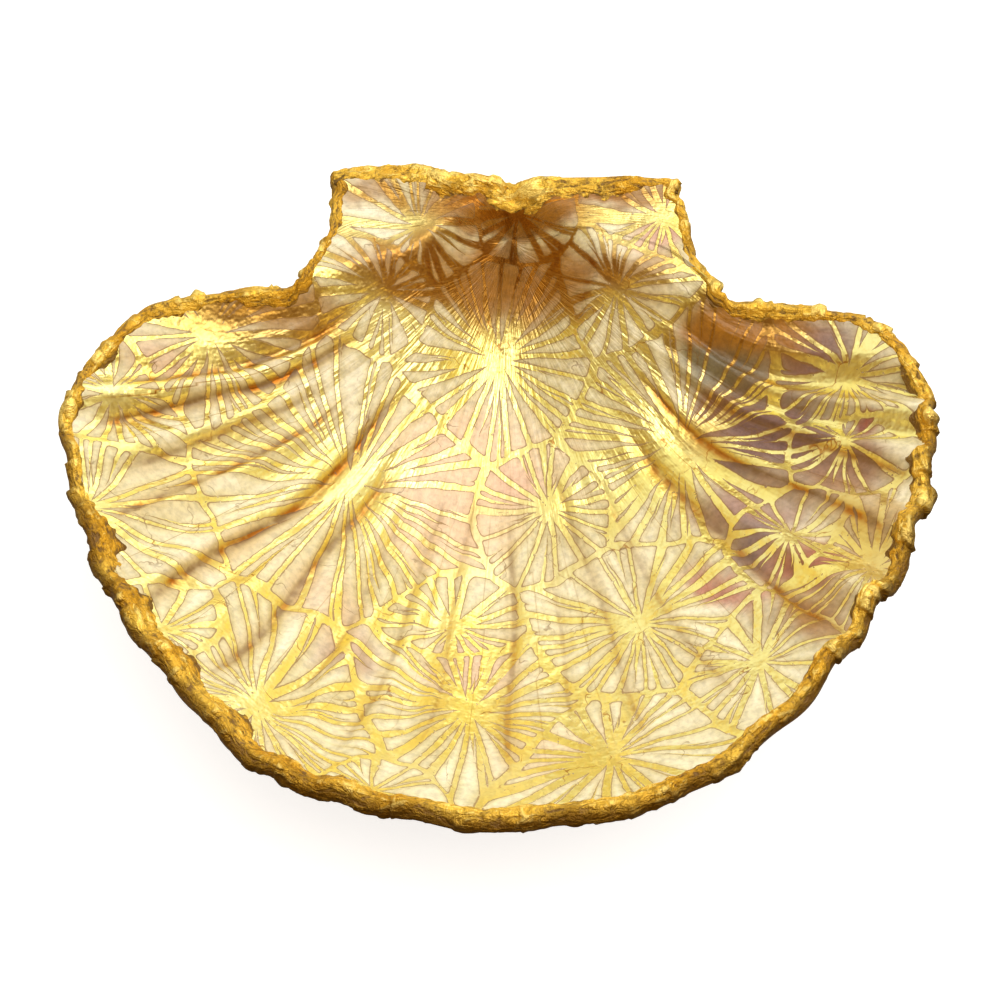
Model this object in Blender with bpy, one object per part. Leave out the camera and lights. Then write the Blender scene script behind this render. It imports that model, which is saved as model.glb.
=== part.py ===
"""A single scallop valve, kept as a dish: it lies on its rounded outer side with the hollow side up.

The valve is one skin, made by wrapping a flat grid around it. Columns are numbered round the margin,
and each runs along the ribs from the umbo, where they begin, out to the margin. Rings go from the
umbo over the hollow face to the rim, and back under the outer face. Places are in millimetres until
the last step, with +X to the right, +Y towards the hinge and the rim near height 0.
"""

import bmesh
import bpy
import numpy as np

MM = 0.001

# Mesh density
HINGE_COLUMNS = 20
EAR_COLUMNS = 9
FLANK_COLUMNS = 9
RIB_COLUMNS = 6
CREST_RING_SHARES = (0.0, 0.5, 0.86, 1.0)
INNER_RINGS = 13
RIM_RINGS = 2
OUTER_RINGS = 13

# Heights and thicknesses
HOLLOW_DEPTH = 25.0
WALL = 2.3
UMBO_WALL_EXTRA = 0.8
UMBO_WALL_BETWEEN_Y = (15.0, 45.0)
RIM_BULGE = 0.45
FOOT_WEAR = 0.9

# The hollow's section: a softened cone to the sides, rounder to the front, flat and then steep to the back
CONE_SOFTNESS = 0.36
FRONT_POWER = 1.9
BACK_POWER = 4.0
BACK_SHARE = 0.75
BACK_BETWEEN_SINES = (0.1, 0.95)

# The ears' level, with a lip along the hinge, a slight dish in each ear and the pit of the hinge's pad
EAR_DROP = 1.3
HINGE_LIP = 1.0
HINGE_LIP_BETWEEN_Y = (50.5, 53.0)
EAR_DISH = 0.8
EAR_DISH_PLACE = (17.0, 46.0)
EAR_DISH_SPREAD = (7.0, 4.5)
PAD_PIT = 1.8
PAD_PIT_Y = 51.4
PAD_PIT_SPREAD = (2.4, 1.8)
EARS_WITHIN_X = 33.0
EARS_BEHIND_Y = 28.0
RISE_PAST_EARS = 3.0
CREST_ROUNDING = 2.0

# Plan places: where the ribs begin, and the deepest point of the hollow
UMBO = (2.0, 47.0)
DEEPEST = (1.0, 1.0)

# The outline, clockwise seen from above
HINGE_LINE = (
    (-26.0, 54.7), (-16.6, 56.2), (-10.6, 55.9), (-6.2, 54.4), (6.0, 54.0), (20.8, 54.4), (28.3, 53.6),
)
RIGHT_EAR_EDGE = ((28.3, 53.6), (28.8, 49.0), (29.4, 44.8), (30.5, 38.4), (33.6, 33.4))
DISC_MARGIN = (
    (33.6, 33.4), (45.0, 31.8), (55.2, 28.6), (60.0, 22.8), (63.2, 14.6), (63.0, 8.0), (61.6, 0.0),
    (59.4, -7.0), (56.4, -14.5), (52.0, -21.8), (46.4, -29.4), (40.9, -36.2), (35.0, -41.8),
    (29.6, -46.2), (21.0, -50.5), (13.0, -52.7), (0.0, -53.9), (-10.0, -52.8), (-21.0, -50.0),
    (-31.0, -45.8), (-39.2, -37.6), (-46.6, -29.0), (-52.6, -20.4), (-56.3, -12.5), (-59.2, -4.6),
    (-61.7, 3.4), (-62.2, 11.0), (-59.8, 18.6), (-55.0, 26.0), (-50.6, 30.6), (-40.0, 33.6),
    (-29.8, 35.4),
)
LEFT_EAR_EDGE = ((-29.8, 35.4), (-28.4, 37.4), (-26.6, 41.6), (-25.6, 46.0), (-26.0, 54.7))

# The crest between ears and hollow: its distance from the umbo, by the angle from the front
CREST_ANGLES_DEG = (68.0, 90.0, 125.0, 180.0)
CREST_REACHES = (15.0, 9.0, 5.6, 4.6)

# Ribs: the angles of the ridges between them, from left to right, with 0 towards the front margin
RIB_EDGES_DEG = (
    -68.0, -61.6, -54.2, -45.5, -38.2, -31.0, -23.8, -17.8, -12.8, -7.4,
    3.5, 13.3, 20.8, 29.6, 36.2, 45.0, 53.3, 59.0, 65.0,
)
NOTCH_LANE_DEG = 72.0
FLANK_FADE_DEG = (63.0, 69.0)
BENT_BETWEEN_DEG = (35.0, 68.0)
SIDE_BEND = 6.0
NOTCH_BEND = 1.0
RIB_HEIGHT = 1.5
RIDGE_NARROWING = 2.2
RIB_STRENGTH = (
    (-66.0, 0.8), (-50.0, 1.0), (-20.0, 0.8), (-5.0, 0.6), (6.0, 0.35), (16.0, 0.3), (26.0, 0.6),
    (36.0, 1.0), (60.0, 0.9),
)
INNER_RIBS_FROM, INNER_RIB_POWER = 0.25, 1.4
OUTER_RIBS_FROM, OUTER_RIB_POWER = 0.0, 0.9


def smooth_step(low, high, x):
    t = np.clip((x - low) / (high - low), 0.0, 1.0)
    return t * t * (3.0 - 2.0 * t)


def lower_of(a, b, blend):
    """The lower of two heights, with the fold between them rounded over the blend."""
    share = np.clip(0.5 + 0.5 * (b - a) / blend, 0.0, 1.0)
    return b + (a - b) * share - blend * share * (1.0 - share)


def hump(x, y, place, spread):
    """A round hump of height 1 at a place."""
    return np.exp(-(((x - place[0]) / spread[0]) ** 2) - ((y - place[1]) / spread[1]) ** 2)


def through(points, share):
    """Places at these shares of the length of a smooth curve through the points."""
    knots = np.array(points, float)
    ends = np.vstack([2 * knots[0] - knots[1], knots, 2 * knots[-1] - knots[-2]])
    fine = []
    for before, start, end, after in zip(ends[:-3], ends[1:-2], ends[2:-1], ends[3:]):
        t = np.linspace(0.0, 1.0, 24, endpoint=False)[:, None]
        linear = end - before
        square = 2 * before - 5 * start + 4 * end - after
        cube = 3 * start - before - 3 * end + after
        fine.append(start + 0.5 * (linear * t + square * t**2 + cube * t**3))
    fine = np.vstack([*fine, knots[-1:]])
    length = np.concatenate([[0.0], np.cumsum(np.linalg.norm(np.diff(fine, axis=0), axis=1))])
    at = np.asarray(share) * length[-1]
    return np.stack([np.interp(at, length, fine[:, axis]) for axis in (0, 1)], axis=-1)


def fan(place):
    """The angle and distance of places from the umbo, with angle 0 towards the front margin."""
    across, down = place[..., 0] - UMBO[0], UMBO[1] - place[..., 1]
    return np.degrees(np.arctan2(across, down)), np.hypot(across, down)


def unfan(angle, reach):
    turn = np.radians(angle)
    return np.stack([UMBO[0] + reach * np.sin(turn), UMBO[1] - reach * np.cos(turn)], axis=-1)


def crest_reach(angle):
    return np.interp(np.abs(angle), CREST_ANGLES_DEG, CREST_REACHES)


def columns():
    """Each column's margin place, lane (its angle at the margin) and bend, clockwise from the hinge.

    The flanks, where the margin runs nearly straight away from the umbo, have lanes past the last rib.
    """
    share = np.linspace(0.0, 1.0, 900)
    angle, _ = fan(through(DISC_MARGIN, share))
    edges = np.array(RIB_EDGES_DEG)
    ribs = len(edges) - 1
    ribbed_lane = np.interp(np.linspace(ribs, 0.0, ribs * RIB_COLUMNS + 1), np.arange(ribs + 1), edges)
    widest, narrowest = np.argmax(angle), np.argmin(angle)
    single = slice(widest, narrowest + 1)
    ribbed = np.interp(-ribbed_lane, -angle[single], share[single])
    flank = np.linspace(0.0, 1.0, FLANK_COLUMNS + 1)[1:-1]
    right_flank = ribbed[0] * flank
    left_flank = ribbed[-1] + (1.0 - ribbed[-1]) * flank
    right_lane = NOTCH_LANE_DEG + (edges[-1] - NOTCH_LANE_DEG) * flank
    left_lane = edges[0] + (-NOTCH_LANE_DEG - edges[0]) * flank
    disc = through(DISC_MARGIN, np.concatenate([right_flank, ribbed, left_flank]))
    disc_lane = np.concatenate([right_lane, ribbed_lane, left_lane])
    disc_bend = SIDE_BEND * smooth_step(*BENT_BETWEEN_DEG, np.abs(disc_lane))

    hinge = through(HINGE_LINE, np.linspace(0.0, 1.0, HINGE_COLUMNS, endpoint=False))
    right_ear = through(RIGHT_EAR_EDGE, np.linspace(0.0, 1.0, EAR_COLUMNS))
    left_ear = through(LEFT_EAR_EDGE, np.linspace(0.0, 1.0, EAR_COLUMNS))[:-1]

    def with_ear_bend(place):
        lane = fan(place)[0]
        return lane, NOTCH_BEND * (1.0 - smooth_step(NOTCH_LANE_DEG, 90.0, np.abs(lane)))

    before, after = np.vstack([hinge, right_ear]), left_ear
    lane_before, bend_before = with_ear_bend(before)
    lane_after, bend_after = with_ear_bend(after)
    margin = np.vstack([before, disc, after])
    lane = np.concatenate([lane_before, disc_lane, lane_after])
    bend = np.concatenate([bend_before, disc_bend, bend_after])
    return margin, lane, bend


def along_column(margin, bend, share):
    """Plan places at shares of the way from the umbo, on columns that bow towards the front."""
    umbo = np.array(UMBO)
    outward = margin - umbo
    length = np.linalg.norm(outward, axis=-1, keepdims=True)
    side = np.sign(outward[..., :1])
    frontward = side * np.stack([outward[..., 1], -outward[..., 0]], axis=-1) / length
    share = np.asarray(share)[..., None]
    bow = 2.0 * share * (1.0 - share) * np.asarray(bend)[..., None]
    return umbo + outward * share + frontward * bow


def rib_relief(lane, share, starts, power):
    """How far the ribs push the wall outwards, at a share of the way from umbo to margin."""
    edges = np.array(RIB_EDGES_DEG)
    phase = np.interp(lane, edges, np.arange(len(edges)))
    wave = 1.0 - 2.0 * np.abs(np.cos(np.pi * phase)) ** RIDGE_NARROWING
    flank = smooth_step(*FLANK_FADE_DEG, np.abs(lane))
    strength = np.interp(lane, *np.transpose(RIB_STRENGTH))
    grown = np.clip((share - starts) / (1.0 - starts), 0.0, 1.0) ** power
    return RIB_HEIGHT * strength * grown * (1.0 - flank) * wave


class Bowl:
    """The smooth valve without its ribs, as heights over the plan."""

    def __init__(self):
        share = np.linspace(0.0, 1.0, 400)
        left, right = (through(edge, 1.0) for edge in (DISC_MARGIN, RIGHT_EAR_EDGE))
        turn = np.linspace(NOTCH_LANE_DEG, 360.0 - NOTCH_LANE_DEG, 120)
        crest = unfan(turn, crest_reach(180.0 - np.abs(180.0 - turn)))
        along = np.linspace(0.45, 1.0, 40)
        to_crest = along_column(right, NOTCH_BEND, along)
        from_crest = along_column(left, NOTCH_BEND, along)
        closed = np.vstack([through(DISC_MARGIN, share), to_crest, crest, from_crest])
        across, ahead = closed[:, 0] - DEEPEST[0], closed[:, 1] - DEEPEST[1]
        angle = np.arctan2(ahead, across)
        order = np.argsort(angle)
        self.angle = angle[order]
        self.reach = np.hypot(across, ahead)[order]

    def hollow(self, x, y):
        across, ahead = x - DEEPEST[0], y - DEEPEST[1]
        angle = np.arctan2(ahead, across)
        reach = np.interp(angle, self.angle, self.reach, period=2.0 * np.pi)
        share = np.hypot(across, ahead) / reach
        cone = (np.sqrt(share**2 + CONE_SOFTNESS**2) - CONE_SOFTNESS) / (
            np.sqrt(1.0 + CONE_SOFTNESS**2) - CONE_SOFTNESS
        )
        sideways = np.cos(angle) ** 2
        back = BACK_SHARE * smooth_step(*BACK_BETWEEN_SINES, np.sin(angle))
        bowl = (1.0 - back) * share**FRONT_POWER + back * share**BACK_POWER
        rise = sideways * cone + (1.0 - sideways) * bowl
        return HOLLOW_DEPTH * (rise - 1.0)

    def ears(self, x, y):
        side = np.abs(x - UMBO[0])
        lip = HINGE_LIP * smooth_step(*HINGE_LIP_BETWEEN_Y, y)
        dish = EAR_DISH * hump(side, y, EAR_DISH_PLACE, EAR_DISH_SPREAD)
        pit = PAD_PIT * hump(side, y, (0.0, PAD_PIT_Y), PAD_PIT_SPREAD)
        past = np.clip(side - EARS_WITHIN_X, 0.0, None) + np.clip(EARS_BEHIND_Y - y, 0.0, None)
        return lip + RISE_PAST_EARS * past - EAR_DROP - dish - pit

    def height(self, x, y):
        return lower_of(self.ears(x, y), self.hollow(x, y), CREST_ROUNDING)

    def steepness(self, x, y):
        """How much longer the wall is up and down than across."""
        step = 0.8
        east = (self.height(x + step, y) - self.height(x - step, y)) / (2.0 * step)
        north = (self.height(x, y + step) - self.height(x, y - step)) / (2.0 * step)
        return np.sqrt(1.0 + east**2 + north**2)


def face_rows(margin, lane, bend, steps):
    """Plan places and shares of one face's rings, from the umbo to the margin."""
    _, margin_reach = fan(margin)
    crest = crest_reach(lane)
    inside = crest * np.array(CREST_RING_SHARES)[:, None]
    rings_beyond = steps + 1 - len(CREST_RING_SHARES)
    beyond = crest + (margin_reach - crest) * np.linspace(0.0, 1.0, rings_beyond + 1)[1:, None]
    share = np.vstack([inside, beyond]) / margin_reach
    return along_column(margin, bend, share), share


def skin():
    """The shell's places, ring by ring, with the first column repeated at the end."""
    bowl = Bowl()
    margin, lane, bend = columns()
    along = np.roll(margin, -1, axis=0) - np.roll(margin, 1, axis=0)
    away = np.stack([-along[:, 1], along[:, 0]], axis=-1)
    away /= np.linalg.norm(away, axis=1, keepdims=True)
    slope = bowl.steepness(margin[:, 0], margin[:, 1])
    tilt = np.sqrt(1.0 - 1.0 / slope**2)
    margin = margin + away * (rib_relief(lane, 1.0, 0.0, 1.0) * tilt - RIM_BULGE / slope)[:, None]
    wall_across = away * (WALL * tilt)[:, None]

    def face(edge, steps, outer):
        plan, share = face_rows(edge, lane, bend, steps)
        x, y = plan[..., 0], plan[..., 1]
        upright = bowl.steepness(x, y)
        if outer:
            relief = rib_relief(lane, share, OUTER_RIBS_FROM, OUTER_RIB_POWER)
        else:
            relief = rib_relief(lane, share, INNER_RIBS_FROM, INNER_RIB_POWER)
        wall = WALL + UMBO_WALL_EXTRA * smooth_step(*UMBO_WALL_BETWEEN_Y, y)
        height = bowl.height(x, y) - upright * (relief + (wall if outer else 0.0))
        return np.dstack([plan, height])

    inner = face(margin - wall_across, INNER_RINGS, False)
    outer = face(margin, OUTER_RINGS, True)
    rim = []
    for ring in range(1, RIM_RINGS):
        over = ring / RIM_RINGS
        bulge = RIM_BULGE * np.sin(np.pi * over)
        place = (1.0 - over) * inner[-1] + over * outer[-1]
        place[:, :2] += away * (bulge / slope)[:, None]
        place[:, 2] += bulge * tilt
        rim.append(place)
    rings = np.vstack([inner, np.array(rim), outer[::-1]])
    return np.concatenate([rings, rings[:, :1]], axis=1)


def build_shell():
    place = skin()
    foot = place[..., 2].min() + FOOT_WEAR
    place[..., 2] = np.maximum(place[..., 2], foot)
    low, high = place.min(axis=(0, 1)), place.max(axis=(0, 1))
    place -= ((low[0] + high[0]) / 2.0, (low[1] + high[1]) / 2.0, foot)

    mesh = bpy.data.meshes.new("scallop_shell")
    bm = bmesh.new()
    rings, around = place.shape[0] - 1, place.shape[1] - 1
    bmesh.ops.create_grid(bm, x_segments=around, y_segments=rings, size=0.5)
    for vertex in bm.verts:
        column = round((vertex.co.x + 0.5) * around)
        ring = round((vertex.co.y + 0.5) * rings)
        vertex.co = place[ring, column] * MM
    bmesh.ops.remove_doubles(bm, verts=bm.verts, dist=0.000001)
    bmesh.ops.recalc_face_normals(bm, faces=bm.faces)
    bm.to_mesh(mesh)
    bm.free()
    mesh.shade_smooth()
    return mesh


def shell_material():
    material = bpy.data.materials.new("gilt_printed_shell")
    material.use_nodes = True
    shader = material.node_tree.nodes["Principled BSDF"]
    shader.inputs["Base Color"].default_value = (0.78, 0.66, 0.38, 1.0)
    shader.inputs["Roughness"].default_value = 0.35
    shader.inputs["Metallic"].default_value = 0.2
    return material


def main():
    for old in list(bpy.data.objects):
        bpy.data.objects.remove(old)
    collection = bpy.data.collections.new("scallop_shell")
    bpy.context.scene.collection.children.link(collection)
    shell = bpy.data.objects.new("scallop_shell", build_shell())
    shell.data.materials.append(shell_material())
    collection.objects.link(shell)


main()
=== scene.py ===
"""The looks of a scallop valve kept as a dish: tissue with gold bursts in the hollow, gold leaf on the rim.

Places are in millimetres until a mesh is made, with +X to the right, +Y towards the hinge and the
rim near height 0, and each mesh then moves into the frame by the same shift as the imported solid.
"""

import math

import bpy
import numpy as np
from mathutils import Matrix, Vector, noise


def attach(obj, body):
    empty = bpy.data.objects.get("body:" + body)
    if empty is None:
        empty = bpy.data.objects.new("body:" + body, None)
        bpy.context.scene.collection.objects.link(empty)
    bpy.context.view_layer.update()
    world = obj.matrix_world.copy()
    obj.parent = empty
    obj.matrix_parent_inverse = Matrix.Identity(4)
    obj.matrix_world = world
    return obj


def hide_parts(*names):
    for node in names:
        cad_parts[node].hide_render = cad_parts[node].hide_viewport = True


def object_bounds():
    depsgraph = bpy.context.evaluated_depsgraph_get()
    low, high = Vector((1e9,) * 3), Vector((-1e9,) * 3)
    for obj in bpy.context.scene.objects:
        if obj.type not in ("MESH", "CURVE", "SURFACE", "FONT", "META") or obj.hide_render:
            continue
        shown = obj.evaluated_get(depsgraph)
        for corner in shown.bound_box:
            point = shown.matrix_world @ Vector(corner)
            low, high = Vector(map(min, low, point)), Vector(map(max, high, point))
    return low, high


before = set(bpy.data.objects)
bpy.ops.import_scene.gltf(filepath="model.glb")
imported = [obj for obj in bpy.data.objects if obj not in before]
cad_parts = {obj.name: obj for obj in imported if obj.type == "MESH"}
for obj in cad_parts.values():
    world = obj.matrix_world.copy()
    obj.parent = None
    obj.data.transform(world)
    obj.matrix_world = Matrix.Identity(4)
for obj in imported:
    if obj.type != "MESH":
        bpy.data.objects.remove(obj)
cad_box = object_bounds()

MM = 0.001
TURN = 2.0 * math.pi

# Heights and thicknesses
HOLLOW_DEPTH = 25.0
WALL = 2.3
UMBO_WALL_EXTRA = 0.8
UMBO_WALL_BETWEEN_Y = (15.0, 45.0)
RIM_BULGE = 0.45
FOOT_WEAR = 0.9

# The hollow's section: a softened cone to the sides, rounder to the front, flat and then steep to the back
CONE_SOFTNESS = 0.36
FRONT_POWER = 1.9
BACK_POWER = 4.0
BACK_SHARE = 0.75
BACK_BETWEEN_SINES = (0.1, 0.95)

# The ears' level, with a lip along the hinge, a slight dish in each ear and the pit of the hinge's pad
EAR_DROP = 1.3
HINGE_LIP = 1.0
HINGE_LIP_BETWEEN_Y = (50.5, 53.0)
EAR_DISH = 0.8
EAR_DISH_PLACE = (17.0, 46.0)
EAR_DISH_SPREAD = (7.0, 4.5)
PAD_PIT = 1.8
PAD_PIT_Y = 51.4
PAD_PIT_SPREAD = (2.4, 1.8)
EARS_WITHIN_X = 33.0
EARS_BEHIND_Y = 28.0
RISE_PAST_EARS = 3.0
CREST_ROUNDING = 2.0

# Plan places: where the ribs begin, and the deepest point of the hollow
UMBO = (2.0, 47.0)
DEEPEST = (1.0, 1.0)

# The outline, clockwise seen from above
HINGE_LINE = (
    (-26, 54.7), (-16.6, 56.2), (-10.6, 55.9), (-6.2, 54.4), (6, 54), (20.8, 54.4), (28.3, 53.6),
)
RIGHT_EAR_EDGE = ((28.3, 53.6), (28.8, 49), (29.4, 44.8), (30.5, 38.4), (33.6, 33.4))
DISC_MARGIN = (
    (33.6, 33.4), (45, 31.8), (55.2, 28.6), (60, 22.8), (63.2, 14.6), (63, 8), (61.6, 0),
    (59.4, -7), (56.4, -14.5), (52, -21.8), (46.4, -29.4), (40.9, -36.2), (35, -41.8),
    (29.6, -46.2), (21, -50.5), (13, -52.7), (0, -53.9), (-10, -52.8), (-21, -50),
    (-31, -45.8), (-39.2, -37.6), (-46.6, -29), (-52.6, -20.4), (-56.3, -12.5), (-59.2, -4.6),
    (-61.7, 3.4), (-62.2, 11), (-59.8, 18.6), (-55, 26), (-50.6, 30.6), (-40, 33.6),
    (-29.8, 35.4),
)
LEFT_EAR_EDGE = ((-29.8, 35.4), (-28.4, 37.4), (-26.6, 41.6), (-25.6, 46), (-26, 54.7))

# The crest between ears and hollow: its distance from the umbo, by the angle from the front
CREST_ANGLES_DEG = (68.0, 90.0, 125.0, 180.0)
CREST_REACHES = (15.0, 9.0, 5.6, 4.6)

# Ribs: the angles of the ridges between them, from left to right, with 0 towards the front margin
RIB_EDGES_DEG = (
    -68.0, -61.6, -54.2, -45.5, -38.2, -31.0, -23.8, -17.8, -12.8, -7.4,
    3.5, 13.3, 20.8, 29.6, 36.2, 45.0, 53.3, 59.0, 65.0,
)
NOTCH_LANE_DEG = 72.0
FLANK_FADE_DEG = (63.0, 69.0)
BENT_BETWEEN_DEG = (35.0, 68.0)
SIDE_BEND = 6.0
NOTCH_BEND = 1.0
RIB_HEIGHT = 1.5
RIDGE_NARROWING = 2.2
RIB_STRENGTH = (
    (-66, 0.8), (-50, 1), (-20, 0.8), (-5, 0.6), (6, 0.35), (16, 0.3), (26, 0.6),
    (36, 1), (60, 0.9),
)
INNER_RIBS_FROM, INNER_RIB_POWER = 0.25, 1.4
OUTER_RIBS_FROM, OUTER_RIB_POWER = 0.0, 0.9

# The leaf fills the waves of the rim in part, most at the front left
RIM_FILL_FROM = 0.8
RIM_FILL = ((-60, 0.2), (-45, 0.6), (0, 0.7), (20, 0.6), (35, 0.15), (70, 0.1))

# Creases of the tissue along the ribs: lane in degrees, shares where each starts and ends, and strength
CREASES = (
    (-63.5, 0.42, 0.95, 0.8),
    (-58.5, 0.34, 0.97, 1.0),
    (-52.0, 0.45, 0.94, 0.55),
    (-46.3, 0.4, 1.0, 0.85),
    (-36.2, 0.3, 1.0, 1.0),
    (-27.6, 0.36, 0.98, 0.8),
    (-20.5, 0.4, 0.9, 0.4),
    (-14.2, 0.36, 0.95, 0.4),
    (-8.0, 0.3, 0.9, 0.35),
    (0.4, 0.38, 0.93, 0.6),
    (6.8, 0.45, 0.85, 0.3),
    (13.0, 0.3, 0.92, 0.4),
    (21.0, 0.36, 0.95, 0.4),
    (32.5, 0.36, 1.0, 0.8),
    (43.5, 0.33, 1.0, 0.9),
    (51.5, 0.4, 1.0, 0.65),
    (60.5, 0.5, 1.0, 0.5),
)
CREASE_SWAY_DEG = 0.55
CREASE_SWAY_PER_MM = 0.13
CREASE_DEPTH = 0.52
CREASE_HALF_WIDTH = 0.7
# How far the painted shade beside each crease reaches, in millimetres
CREASE_SHADE_WIDTH = 2.6

# Where a patch of colour stops being full and where it is gone, in shares of its radii
PATCH_FADES = (0.3, 1.25)
# How ragged patches are: waves per millimetre and how far those shift an edge
RAGGED_BY = ((0.16, 3.2), (0.7, 0.7))

# Fine creasing of the tissue and growth lines of the outer face: heights, and waves along each axis
WRINKLE_HEIGHT, WRINKLE_WAVES = 0.16, (0.3, 0.045, 1.0)
CRUMPLE_HEIGHT, CRUMPLE_WAVES = 0.1, (0.28, 0.28, 1.0)
GROWTH_HEIGHT, GROWTH_WAVES = 0.12, (0.02, 34.0, 1.0)
RELIEF_FROM_REACHES = (4.0, 30.0)
RELIEF_TO_SHARES = (0.9, 0.965)

# Columns of the two skins, as hinge, ear, flank and rib
SHELL_COLUMNS = (66, 27, 30, 20)
LEAF_COLUMNS = (240, 100, 130, 60)
CREST_RING_SHARES = (0.0, 0.12, 0.25, 0.37, 0.5, 0.62, 0.74, 0.86, 1.0)
INNER_RINGS = 66
OUTER_RINGS = 44
RIM_RINGS = 4
SPREADING_ROUNDS = 1000
UNFOLDING_ROUNDS = 1200

# The gold leaf: how far it reaches in from the rim and out under it, and how it crumples
LEAF_INWARD_BY_LANE = (
    (-120, 2.2), (-90, 1.5), (-68, 1.9), (-58, 1), (-50, 1.2), (-44, 3.4), (-34, 3),
    (-22, 2.6), (0, 1.9), (16, 1.6), (30, 1.5), (40, 1.9), (52, 2.4), (62, 1.5), (72, 1.8),
    (90, 1.3), (120, 2.2),
)
LEAF_INWARD_VARIES = (0.45, 1.5)
HINGE_LEAF_INWARD = 2.0
HINGE_LEAF_TORN = 1.1
HINGE_LUMPS = ((-15, 54, 3, 0.8), (-9.5, 54, 2.2, 0.7), (1, 53.5, 2.4, 0.5), (6, 53.5, 3, 0.7))
LEAF_UNDER = (3.0, 8.0)
LEAF_INWARD_SEED, LEAF_UNDER_SEED = 3.0, 9.0
LEAF_INNER_RINGS = 14
LEAF_RIM_RINGS = 8
LEAF_OUTER_RINGS = 18
LEAF_STAND = 0.24
LEAF_LEAST_STAND = 0.12
LEAF_TUCK = 0.25
LEAF_LUMPS = 0.44
LEAF_STRANDS = 0.22
LEAF_CRUMPLE = 0.2
LEAF_FACETS = 0.5
# Painted shade on the leaf's outer side, under the rim: where it starts and where it is full across the band, in
# millimetres, and how much higher it starts at the front
LEAF_DARK_FROM = 0.0
LEAF_DARK_TO = 1.8
LEAF_DARK_HIGHER_AT_FRONT = 1.8
LEAF_PLATES = 0.8
LEAF_PLATE_LENGTH = 6.5
LEAF_PLATES_BY_LANE = (
    (-95, 0), (-85, 0.5), (-66, 0.7), (-50, 0.9), (-30, 0.35), (0, 0.3), (20, 0.4),
    (30, 1), (66, 1), (72, 0.4), (90, 0),
)
LEAF_SPIKES = 1.5
LEAF_SPIKES_FROM = 0.22
LEAF_SPIKES_WITHIN = 1.3
LEAF_PLATES_WITHIN = 1.8
LEAF_EDGE_RINGS = (8.0, 5.0)

# The sky: its light to the front and to the back, and where it turns from one to the other
SKY_FRONT = (0.36, 0.22, 0.09, 1.0)
SKY_BACK = (1.02, 0.97, 0.86, 1.0)
SKY_DARK_AT = -0.5
SKY_BRIGHT_AT = 0.3
SKY_BELOW = 0.25

# The stage, in metres
FLOOR_REACH = 3.0
BACKDROP_RADIUS = 2.9

# The camera: the photograph's viewing angle, in degrees and metres
CAMERA_ELEVATION = 57.11
CAMERA_AZIMUTH = 180.49
CAMERA_ROLL = 0.94
CAMERA_DISTANCE = 0.28
CAMERA_TARGET = (-0.0004, -0.0031, 0.021)
CAMERA_LENS = 71.4
SENSOR = 36.0

# Bursts of the print: plan place of the middle, size against the others, and count of rays
BURSTS = (
    ((0.0, 33.0), 1.05, 26),
    ((-22.0, 9.5), 1.3, 30),
    ((28.0, 15.5), 1.25, 30),
    ((-3.5, -30.0), 1.1, 24),
    ((-6.0, -13.5), 0.62, 16),
    ((-31.5, -36.0), 1.15, 24),
    ((-43.0, 26.5), 0.95, 22),
    ((52.0, 20.0), 0.85, 18),
    ((-17.0, 36.0), 0.7, 15),
    ((25.5, 47.5), 0.8, 16),
    ((18.5, 36.0), 0.75, 16),
    ((21.0, -15.0), 1.05, 20),
    ((52.5, -14.0), 0.85, 18),
    ((8.5, 7.5), 0.75, 16),
    ((42.0, -5.5), 0.6, 12),
    ((-57.0, -7.5), 1.05, 20),
    ((50.5, 8.5), 0.6, 12),
    ((36.0, -27.0), 0.8, 16),
    ((15.5, -40.5), 1.0, 18),
    ((-15.5, -48.5), 0.5, 11),
    ((-55.5, 13.5), 0.7, 15),
    ((-12.0, 45.5), 0.8, 16),
    ((3.0, 49.5), 0.6, 13),
    ((-45.0, -25.5), 0.65, 14),
)

# The print's strokes, in millimetres: half widths of rays and borders, the burst's core and rounded roots
RAY_HALF_WIDTHS = (0.21, 0.84)
BORDER_HALF_WIDTHS = (0.34, 1.05)
BURST_CORE = 0.8
RAY_ROOT_ROUNDING = 0.9
SEAM_ONLY_BEHIND = 50.0

# Short rays: count against a burst's own, seed, where they end, half width, and if they come from the border
SHORT_RAYS = (
    (0.75, 431.0, (0.3, 0.95), 0.5, True),
    (0.55, 877.0, (0.15, 0.7), 0.42, False),
)
SHORT_RAY_SLOPE = 1.6
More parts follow.
